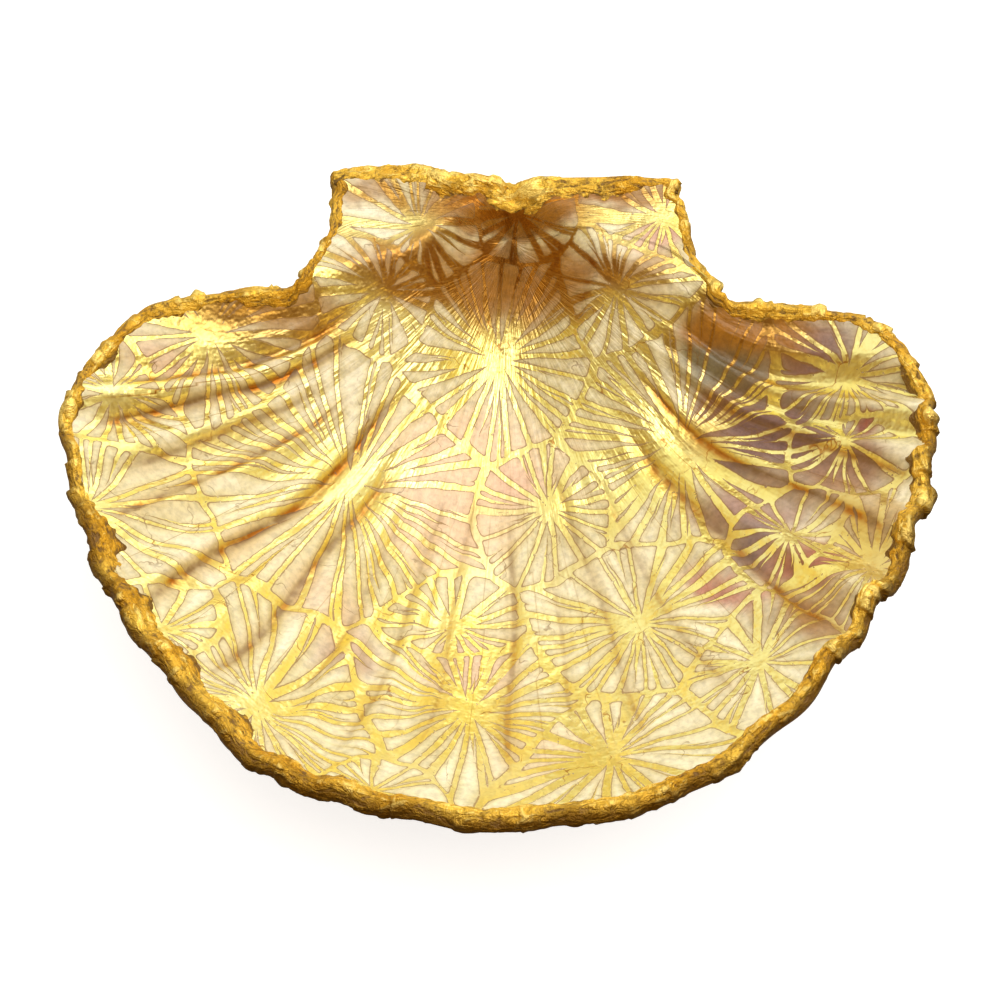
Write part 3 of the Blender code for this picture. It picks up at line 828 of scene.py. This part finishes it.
def build_leaf():
    rim = Rim(LEAF_COLUMNS)
    margin, lane = rim.outer_edge, rim.lane
    side = np.abs(lane)
    steps = np.linalg.norm(np.roll(margin, -1, axis=0) - margin, axis=1)
    along = np.concatenate([[0.0], np.cumsum(steps)[:-1]])
    inward = np.interp(lane, *np.transpose(LEAF_INWARD_BY_LANE))
    inward *= leaf_width(along, *LEAF_INWARD_VARIES, LEAF_INWARD_SEED)
    torn = noise_at(np.stack([along, along * 0.0, along * 0.0], axis=-1), noise.noise, (0.45, 1.0, 1.0))
    inward += HINGE_LEAF_INWARD * smooth_step(100.0, 120.0, side) * (1.0 + HINGE_LEAF_TORN * torn)
    lumps = np.zeros_like(lane)
    for x, y, spread, height in HINGE_LUMPS:
        lumps += height * hump(margin[:, 0], margin[:, 1], (x, y), (spread, 4.0))
    inward += 0.7 * lumps
    under = leaf_width(along, *LEAF_UNDER, LEAF_UNDER_SEED)

    rings = leaf_skin(rim, inward, under)
    over = np.linalg.norm(np.diff(rings, axis=0), axis=-1)
    across = np.vstack([np.zeros((1, len(lane))), np.cumsum(over, axis=0)])
    across -= across[LEAF_INNER_RINGS + LEAF_RIM_RINGS // 2].copy()
    band = on_plane(np.broadcast_to(along, across.shape), across)
    slow = noise_at(band, noise.noise, (0.16, 0.12, 1.0))
    strands = noise_at(band, strand, (0.09, 0.5, 1.0))
    fine = noise_at(band, fractal, (0.42, 0.85, 1.0))
    facets = noise_at(band + 0.4 * fine[..., None], facet, (0.24, 0.34, 1.0))
    spikes = noise_at(band, noise.noise, (0.42, 0.3, 1.0))
    ring = np.arange(rings.shape[0])[:, None]
    cover = smooth_step(0.0, LEAF_EDGE_RINGS[0], ring) * smooth_step(0.0, LEAF_EDGE_RINGS[1], ring[::-1])
    stand = -LEAF_TUCK + (LEAF_TUCK + LEAF_STAND) * cover
    crumpled = LEAF_LUMPS * slow + LEAF_STRANDS * (strands - 1.0) + LEAF_CRUMPLE * fine
    crumpled += LEAF_FACETS * (facets - 0.3)
    stand = stand + cover * (crumpled * (1.0 + 0.8 * lumps) + 0.6 * lumps)
    wander = noise_at(band * (1.0, 0.0, 0.0), noise.noise, (0.07, 1.0, 1.0))
    plate = (along / LEAF_PLATE_LENGTH + 1.4 * wander) % 1.0
    plate_height = LEAF_PLATES * np.interp(lane, *np.transpose(LEAF_PLATES_BY_LANE))
    stand = stand + plate_height * (plate - 0.4) * np.exp(-((across / LEAF_PLATES_WITHIN) ** 2)) * cover
    sides = smooth_step(25.0, 40.0, side) * (1.0 - smooth_step(80.0, 95.0, side))
    on_rim = np.exp(-((across / LEAF_SPIKES_WITHIN) ** 2))
    stand = stand + LEAF_SPIKES * sides * on_rim * np.clip(spikes - LEAF_SPIKES_FROM, 0.0, None)
    stand = np.maximum(stand, -LEAF_TUCK + (LEAF_TUCK + LEAF_LEAST_STAND) * cover)
    rings = rings + surface_normals(rings) * stand[..., None]
    mesh = grid_mesh("rim_leaf", rings)
    # Painted shade over the outer side of the leaf, reaching higher up the rim at the front
    higher = LEAF_DARK_HIGHER_AT_FRONT * (1.0 - smooth_step(50.0, 75.0, side)) - 0.8 * slow
    underside_shade = smooth_step(LEAF_DARK_FROM, LEAF_DARK_TO, across + higher)
    add_places(mesh, "leaf_place", np.dstack([band[..., 0], across, stand]))
    add_places(mesh, "leaf_shade_and_facets", np.dstack([underside_shade, facets, np.zeros_like(underside_shade)]))
    mesh.materials.append(leaf_material())
    return linked("rim_gold_leaf", mesh)


class Nodes:
    """Short calls for the node tree of a material or a world."""

    def __init__(self, owner):
        owner.use_nodes = True
        self.owner = owner
        self.tree = owner.node_tree

    def put(self, socket, value):
        if isinstance(value, bpy.types.NodeSocket):
            self.tree.links.new(value, socket)
        else:
            socket.default_value = value

    def add(self, kind, settings=None, **inputs):
        node = self.tree.nodes.new(kind)
        for key, value in (settings or {}).items():
            setattr(node, key, value)
        for key, value in inputs.items():
            self.put(node.inputs[key], value)
        return node

    def math(self, operation, *values):
        node = self.add("ShaderNodeMath", {"operation": operation})
        for socket, value in zip(node.inputs, values):
            self.put(socket, value)
        return node.outputs[0]

    def times(self, a, b):
        return self.math("MULTIPLY", a, b)

    def plus(self, a, b):
        return self.math("ADD", a, b)

    def vector(self, operation, *values):
        node = self.add("ShaderNodeVectorMath", {"operation": operation})
        for socket, value in zip(node.inputs, values):
            self.put(socket, value)
        return node.outputs["Value" if operation in ("DISTANCE", "LENGTH", "DOT_PRODUCT") else "Vector"]

    def scaled(self, vector, scale):
        node = self.add("ShaderNodeVectorMath", {"operation": "SCALE"})
        self.put(node.inputs[0], vector)
        self.put(node.inputs["Scale"], scale)
        return node.outputs["Vector"]

    def place(self, name):
        return self.add("ShaderNodeAttribute", {"attribute_name": name}).outputs["Vector"]

    def split(self, vector):
        return self.add("ShaderNodeSeparateXYZ", Vector=vector).outputs

    def flattened(self, vector):
        return self.vector("MULTIPLY", vector, (1.0, 1.0, 0.0))

    def noise(self, vector, scale, detail=3.0, roughness=0.5, distortion=0.0, output="Fac"):
        node = self.add("ShaderNodeTexNoise", Vector=vector, Scale=scale, Detail=detail)
        self.put(node.inputs["Roughness"], roughness)
        self.put(node.inputs["Distortion"], distortion)
        return node.outputs[output]

    def grain(self, x, y, scale_x, scale_y, detail, roughness=0.5, distortion=0.0):
        """Noise over two values, each with its own scale."""
        place = self.add("ShaderNodeCombineXYZ", X=self.times(x, scale_x), Y=self.times(y, scale_y))
        return self.noise(place.outputs[0], 1.0, detail, roughness, distortion)

    def ramp(self, value, low, high, to_low=0.0, to_high=1.0, kind="SMOOTHSTEP"):
        node = self.add("ShaderNodeMapRange", {"interpolation_type": kind})
        for socket, setting in zip(node.inputs, (value, low, high, to_low, to_high)):
            self.put(socket, setting)
        return node.outputs[0]

    def mix(self, factor, a, b, kind="RGBA"):
        node = self.add("ShaderNodeMix", {"data_type": kind})
        first, output = {"FLOAT": (2, 0), "VECTOR": (4, 1), "RGBA": (6, 2)}[kind]
        for socket, value in zip((0, first, first + 1), (factor, a, b)):
            self.put(node.inputs[socket], value)
        return node.outputs[output]

    def over(self, base, *layers):
        """A colour under layers, each given as its cover and its colour."""
        for cover, tint in layers:
            base = self.mix(cover, base, colour(*tint))
        return base

    def around(self, vector, scale, spread):
        """A shift that wanders by up to about half the spread each way."""
        wander = self.noise(vector, scale, 2.0, output="Color")
        return self.scaled(self.vector("SUBTRACT", wander, (0.5, 0.5, 0.5)), spread)

    def covered(self, colour_now, cover, tint):
        """A colour under a layer whose colour is already times its cover."""
        return self.vector("ADD", self.mix(cover, colour_now, (0.0, 0.0, 0.0, 1.0)), tint)

    def finish(self, base, roughness, relief, **others):
        """The material, once its shader has a colour, roughness, relief and any other inputs by name."""
        shader = self.tree.nodes["Principled BSDF"]
        self.put(shader.inputs["Base Color"], base)
        self.put(shader.inputs["Roughness"], roughness)
        bump = self.add("ShaderNodeBump", Height=relief, Distance=MM, Strength=1.0)
        self.put(shader.inputs["Normal"], bump.outputs["Normal"])
        for name, value in others.items():
            self.put(shader.inputs[name.replace("_", " ")], value)
        return self.owner


def colour(red, green, blue):
    """A colour given as it looks on a screen, 0 to 255, as linear light."""
    shares = [value / 255.0 for value in (red, green, blue)]
    return (*[s / 12.92 if s <= 0.04045 else ((s + 0.055) / 1.055) ** 2.4 for s in shares], 1.0)


def burst_cells(n, place, straight):
    """The nearest burst's share of the way, the next one's, and the nearest one's arm, ray count and number.

    The cells are told apart at the bent place, and the arm runs to the straight one.
    """
    nearest, second = None, None
    arm, rays, number = None, None, None
    for index, ((x, y), size, count) in enumerate(BURSTS):
        middle_x, middle_y = unrolled(np.array(x), np.array(y))
        middle = (float(middle_x), float(middle_y), 0.0)
        far = n.math("DIVIDE", n.vector("DISTANCE", place, middle), size)
        if nearest is None:
            nearest, second, arm, rays, number = far, 1000.0, middle, float(count), float(index)
            continue
        closer = n.math("LESS_THAN", far, nearest)
        second = n.math("MINIMUM", second, n.math("MAXIMUM", nearest, far))
        nearest = n.math("MINIMUM", nearest, far)
        arm = n.mix(closer, arm, middle, "VECTOR")
        rays = n.mix(closer, rays, float(count), "FLOAT")
        number = n.mix(closer, number, float(index), "FLOAT")
    return nearest, second, n.vector("SUBTRACT", straight, arm), rays, number


def ray_edges(n, arm, far, rays, seed):
    """Distance in millimetres from the nearest of a burst's rays, and the finger between rays as a chance."""
    ahead, beside, _ = n.split(arm)
    angle = n.math("ARCTAN2", beside, ahead)
    turn = n.plus(n.times(angle, n.math("DIVIDE", rays, TURN)), seed)

    def cells(feature):
        settings = {"voronoi_dimensions": "1D", "feature": feature}
        return n.add("ShaderNodeTexVoronoi", settings, W=turn, Scale=1.0).outputs

    arc = n.math("DIVIDE", n.times(far, TURN), rays)
    from_ray = n.times(cells("DISTANCE_TO_EDGE")["Distance"], arc)
    seam = n.plus(n.math("ABSOLUTE", beside), n.times(n.math("MAXIMUM", ahead, 0.0), SEAM_ONLY_BEHIND))
    return n.math("MINIMUM", from_ray, seam), n.split(cells("F1")["Color"])


def burst_gold(n, place):
    """How deep in the printed gold a place is, in millimetres: above 0 on the gold, below 0 on the paper."""
    hand = n.around(place, 0.7, 0.28)
    flat = n.flattened(place)
    bent = n.flattened(n.vector("ADD", n.vector("ADD", flat, n.around(place, 0.09, 4.0)), hand))
    straight = n.flattened(n.vector("ADD", n.vector("ADD", flat, n.around(place, 0.05, 2.6)), hand))
    nearest, second, arm, rays, number = burst_cells(n, bent, straight)
    far = n.vector("LENGTH", arm)
    share = n.math("DIVIDE", nearest, second)
    seed = n.times(number, 53.7)
    from_ray, chance = ray_edges(n, arm, far, rays, seed)
    broad = n.math("POWER", chance[1], 2.0)
    rays_all = n.math("SUBTRACT", from_ray, n.ramp(broad, 0.0, 1.0, *RAY_HALF_WIDTHS))
    for more, shift, reaches, widest, from_border in SHORT_RAYS:
        short_ray, short_chance = ray_edges(n, arm, far, n.times(rays, more), n.plus(seed, shift))
        tip = n.ramp(short_chance[1], 0.0, 1.0, *reaches)
        past_tip = n.math("SUBTRACT", *((share, tip) if from_border else (tip, share)))
        half_width = n.math("MINIMUM", n.times(past_tip, SHORT_RAY_SLOPE), widest)
        rays_all = n.math("MINIMUM", rays_all, n.math("SUBTRACT", short_ray, half_width))
    border = n.times(n.math("SUBTRACT", second, nearest), 0.5)
    border = n.math("SUBTRACT", border, n.ramp(chance[0], 0.5, 1.0, *BORDER_HALF_WIDTHS))
    between = n.math("SMOOTH_MIN", rays_all, border, RAY_ROOT_ROUNDING)
    core = n.math("SUBTRACT", far, BURST_CORE)
    return n.times(n.math("MINIMUM", between, core), -1.0), chance


def tissue_material():
    n = Nodes(bpy.data.materials.new("printed_tissue"))
    place = n.place("print_place")
    lane, reach, _ = n.split(n.place("rib_place"))
    across_crease, crease, second_layer = n.split(n.place("crease_place"))
    colour_and_shadow_cover, shaded, glaze_and_shade = n.split(n.place("covers"))
    flat = n.flattened(place)
    depth, chance = burst_gold(n, place)
    depth = n.math("SUBTRACT", depth, n.ramp(n.noise(place, 1.5, 2.0), 0.62, 0.74, 0.0, 0.3))
    gold = n.times(n.ramp(depth, -0.05, 0.05), n.math("SUBTRACT", 1.0, second_layer))
    outline = n.ramp(n.math("ABSOLUTE", n.plus(depth, 0.08)), 0.02, 0.14, 1.0, 0.0)
    # Along each crease: a thin line, partly a brown mark of the fold and partly painted shade in its valley, and
    # a broad band of painted shade beside it
    away = n.math("ABSOLUTE", across_crease)
    mark_width = n.math("MULTIPLY_ADD", crease, 0.6, 0.35)
    crease_marks_and_shade = n.times(n.ramp(away, 0.12, mark_width, 1.0, 0.0), crease)
    crease_marks_and_shade = n.times(crease_marks_and_shade, n.ramp(n.noise(place, 0.35, 2.0), 0.35, 0.6, 0.35, 1.0))
    shades = n.times(n.ramp(away, 0.2, CREASE_SHADE_WIDTH, 1.0, 0.0), crease)

    def cells(feature, warp_scale, warp, scale):
        settings = {"voronoi_dimensions": "2D", "feature": feature}
        warped = n.vector("ADD", flat, n.around(flat, warp_scale, warp))
        return n.add("ShaderNodeTexVoronoi", settings, Vector=warped, Scale=scale).outputs

    piece_tone = n.split(cells("F1", 0.2, 6.0, 0.06)["Color"])[0]
    folds = n.ramp(cells("DISTANCE_TO_EDGE", 0.35, 5.0, 0.13)["Distance"], 0.004, 0.02, 1.0, 0.0)
    folds = n.times(folds, n.ramp(n.noise(flat, 0.18, 2.0), 0.5, 0.64))

    cloud = n.ramp(n.noise(flat, 0.07, 2.0), 0.35, 0.65)
    mottle = n.noise(flat, 0.9, 3.0, 0.6)
    streak = n.grain(lane, reach, 0.16, 0.03, 3.0)
    shade_tint = n.mix(shades, (1.0, 1.0, 1.0, 1.0), colour(*CREASE_SHADE))
    paper = n.over(
        colour(*PAPER),
        (cloud, PAPER_PALE),
        (n.ramp(depth, -1.5, -0.2, 0.6, 0.0), PAPER_LIT),
        (n.ramp(piece_tone, 0.3, 0.9, 0.0, 0.35), PAPER_AGED),
        (n.ramp(streak, 0.5, 0.75, 0.0, 0.4), PAPER_STREAK),
        (n.ramp(chance[2], 0.4, 1.0, 0.0, 0.3), PAPER_FINGER),
        (n.ramp(depth, -0.8, -0.05, 0.0, 0.3), PAPER_BESIDE_GOLD),
    )
    # Patches of colour, and painted shadow under the leaf at the shoulders
    paper = n.covered(paper, colour_and_shadow_cover, n.place("paper_colour_and_shadow"))
    # Brown glazing over the paper, partly painted shade
    paper = n.over(paper, (n.ramp(glaze_and_shade, 0.0, 0.85), PAPER_GLAZE_AND_SHADE))
    paper = n.scaled(paper, n.ramp(mottle, 0.35, 0.72, 1.06, 0.8))
    # Painted shade beside the creases
    paper = n.vector("MULTIPLY", paper, shade_tint)
    paper = n.over(
        paper,
        (n.times(outline, 0.75), PAPER_OUTLINE),
        (n.times(crease_marks_and_shade, 0.85), PAPER_CREASE),
        (n.times(folds, 0.6), PAPER_FOLD),
    )

    foil = n.over(colour(*FOIL), (cloud, FOIL_PALE), (n.ramp(mottle, 0.5, 0.8, 0.0, 0.4), FOIL_WORN))
    # Painted shade beside the creases, then crease lines that are partly painted shade, fold lines, and brown
    # glazing that is partly painted shade
    foil = n.vector("MULTIPLY", foil, shade_tint)
    foil = n.over(foil, (crease_marks_and_shade, FOIL_CREASE), (n.times(folds, 0.8), FOIL_FOLD), (glaze_and_shade, FOIL_GLAZE_AND_SHADE))
    # Painted shade on the foil at the umbo, the ears, under the hinge and under the shoulders
    foil = n.covered(foil, shaded, n.place("foil_painted_shade"))
    ripples = n.grain(lane, reach, 0.7, 0.16, 2.0, 0.55)
    creped = n.noise(flat, 0.5, 2.0, 0.6)
    return n.finish(
        n.mix(gold, paper, foil),
        n.mix(gold, PAPER_ROUGHNESS, n.ramp(mottle, 0.3, 0.7, *FOIL_ROUGHNESS), "FLOAT"),
        n.plus(n.times(ripples, 0.3), n.times(creped, 0.3)),
        Metallic=gold,
        Coat_Weight=0.12,
        Coat_Roughness=0.25,
    )


def outer_shell_material():
    n = Nodes(bpy.data.materials.new("natural_shell"))
    lane, reach, share = n.split(n.place("rib_place"))
    flat = n.flattened(n.place("print_place"))
    uneven = n.noise(flat, 0.09, 3.0, 0.6)
    year = n.plus(n.times(share, 12.0), n.times(uneven, 3.0))
    bands = n.grain(year, year, 1.0, 0.0, 3.0, 0.6)
    lines = n.grain(year, year, 7.0, 0.0, 3.0, 0.7)
    riblets = n.grain(lane, reach, 1.1, 0.06, 3.0)
    blotches = n.noise(flat, 0.12, 3.0, 0.6)
    chalk = n.noise(flat, 0.35, 4.0, 0.6)
    base = n.over(
        colour(*SHELL),
        (n.ramp(blotches, 0.38, 0.66), SHELL_TAN),
        (n.ramp(bands, 0.46, 0.7, 0.0, 0.6), SHELL_BAND),
        (n.ramp(riblets, 0.45, 0.8, 0.0, 0.3), SHELL_RIBLET),
        (n.ramp(chalk, 0.46, 0.7, 0.0, 0.6), SHELL_CHALK),
        (n.ramp(lines, 0.58, 0.74, 0.0, 0.2), SHELL_LINE),
    )
    relief = n.plus(n.plus(n.times(lines, 0.25), n.times(riblets, 0.25)), n.times(chalk, 0.12))
    return n.finish(base, n.ramp(chalk, 0.35, 0.7, 0.48, 0.72), relief)


def leaf_material():
    n = Nodes(bpy.data.materials.new("gold_leaf"))
    along, across, stand = n.split(n.place("leaf_place"))
    underside_shade, facets, _ = n.split(n.place("leaf_shade_and_facets"))
    strands = n.grain(along, across, 0.42, 1.1, 3.0, 0.6, 0.8)
    crumple = n.grain(along, across, 0.9, 0.9, 3.0, 0.65, 0.8)
    tone = n.grain(along, across, 0.1, 0.1, 2.0)
    height = n.plus(n.plus(n.times(stand, 0.5), n.times(strands, 0.8)), n.times(crumple, 0.5))
    # Painted highlights on the leaf's high places and painted shade on its outer side under the rim
    gold = n.over(
        colour(*LEAF),
        (n.ramp(tone, 0.35, 0.65), LEAF_YELLOW),
        (n.ramp(height, 0.82, 0.98, 0.0, 0.75), LEAF_HIGHLIGHT),
        (n.ramp(height, 0.56, 0.74, 0.9, 0.0), LEAF_CREVICE),
        (n.ramp(facets, 0.02, 0.1, 0.45, 0.0), LEAF_CREASE),
        (n.times(underside_shade, 0.85), LEAF_UNDERSIDE_SHADE),
    )
    relief = n.plus(n.times(strands, 0.7), n.times(crumple, 0.5))
    metallic = n.ramp(height, 0.55, 0.78, 0.2, 0.85)
    return n.finish(gold, n.ramp(crumple, 0.35, 0.65, 0.38, 0.6), relief, Metallic=metallic)


def pale(stage, name, base, glow):
    """A plain stage object that lights nothing but the picture."""
    stage.name = name
    n = Nodes(bpy.data.materials.new(name))
    shader = n.tree.nodes["Principled BSDF"]
    n.put(shader.inputs["Base Color"], base)
    n.put(shader.inputs["Roughness"], 0.9)
    n.put(shader.inputs["Emission Color"], (1.0, 1.0, 1.0, 1.0))
    n.put(shader.inputs["Emission Strength"], glow)
    stage.data.materials.append(n.owner)
    stage.visible_diffuse = False
    stage.visible_glossy = False


def build_stage():
    bpy.ops.mesh.primitive_plane_add(size=2.0 * FLOOR_REACH, location=(0.0, 0.0, 0.0))
    pale(bpy.context.object, "floor", (0.5, 0.5, 0.5, 1.0), 0.75)
    bpy.ops.mesh.primitive_uv_sphere_add(radius=BACKDROP_RADIUS, segments=64, ring_count=32)
    bpy.context.object.visible_shadow = False
    pale(bpy.context.object, "backdrop", (0.0, 0.0, 0.0, 1.0), 1.0)


def towards(azimuth, elevation):
    """The way to a place around the dish. Azimuth 0 is behind the hinge and 90 to the right."""
    turn, lift = math.radians(azimuth), math.radians(elevation)
    return Vector((math.sin(turn) * math.cos(lift), math.cos(turn) * math.cos(lift), math.sin(lift)))


def area_light(name, azimuth, elevation, distance, size, power, tint):
    """A soft round light that faces the middle."""
    data = bpy.data.lights.new(name, "AREA")
    data.shape = "DISK"
    data.size = size
    data.energy = power
    data.color = tint
    light = bpy.data.objects.new(name, data)
    away = towards(azimuth, elevation)
    light.location = away * distance
    light.rotation_euler = away.to_track_quat("Z", "Y").to_euler()
    bpy.context.scene.collection.objects.link(light)


def light_scene():
    area_light("window", 34.0, 42.0, 0.9, 0.7, 1.6, (1.0, 0.97, 0.9))
    area_light("ceiling", 130.0, 72.0, 1.0, 0.9, 6.0, (1.0, 0.98, 0.93))
    n = Nodes(bpy.data.worlds.new("studio"))
    sky = n.tree.nodes["Background"]
    _, ahead, above = n.split(n.add("ShaderNodeTexCoord").outputs["Generated"])
    n.put(sky.inputs["Color"], n.mix(n.ramp(ahead, SKY_DARK_AT, SKY_BRIGHT_AT), SKY_FRONT, SKY_BACK))
    n.put(sky.inputs["Strength"], n.ramp(above, -0.3, 0.1, SKY_BELOW, 1.0, "LINEAR"))
    bpy.context.scene.world = n.owner
    bpy.context.scene.view_settings.view_transform = "Standard"


def place_camera():
    data = bpy.data.cameras.new("camera")
    data.lens = CAMERA_LENS
    data.sensor_width = SENSOR
    camera = bpy.data.objects.new("camera", data)
    bpy.context.scene.collection.objects.link(camera)
    back = towards(CAMERA_AZIMUTH, CAMERA_ELEVATION)
    camera.location = Vector(CAMERA_TARGET) + back * CAMERA_DISTANCE
    camera.rotation_euler = back.to_track_quat("Z", "Y").to_euler()
    camera.rotation_euler.rotate_axis("Z", math.radians(CAMERA_ROLL))
    bpy.context.scene.camera = camera


def main():
    place_camera()
    light_scene()
    build_stage()
    valve = build_shell()
    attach(valve, "root")
    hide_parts("scallop_shell")
    leaf = build_leaf()
    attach(leaf, "root")


main()
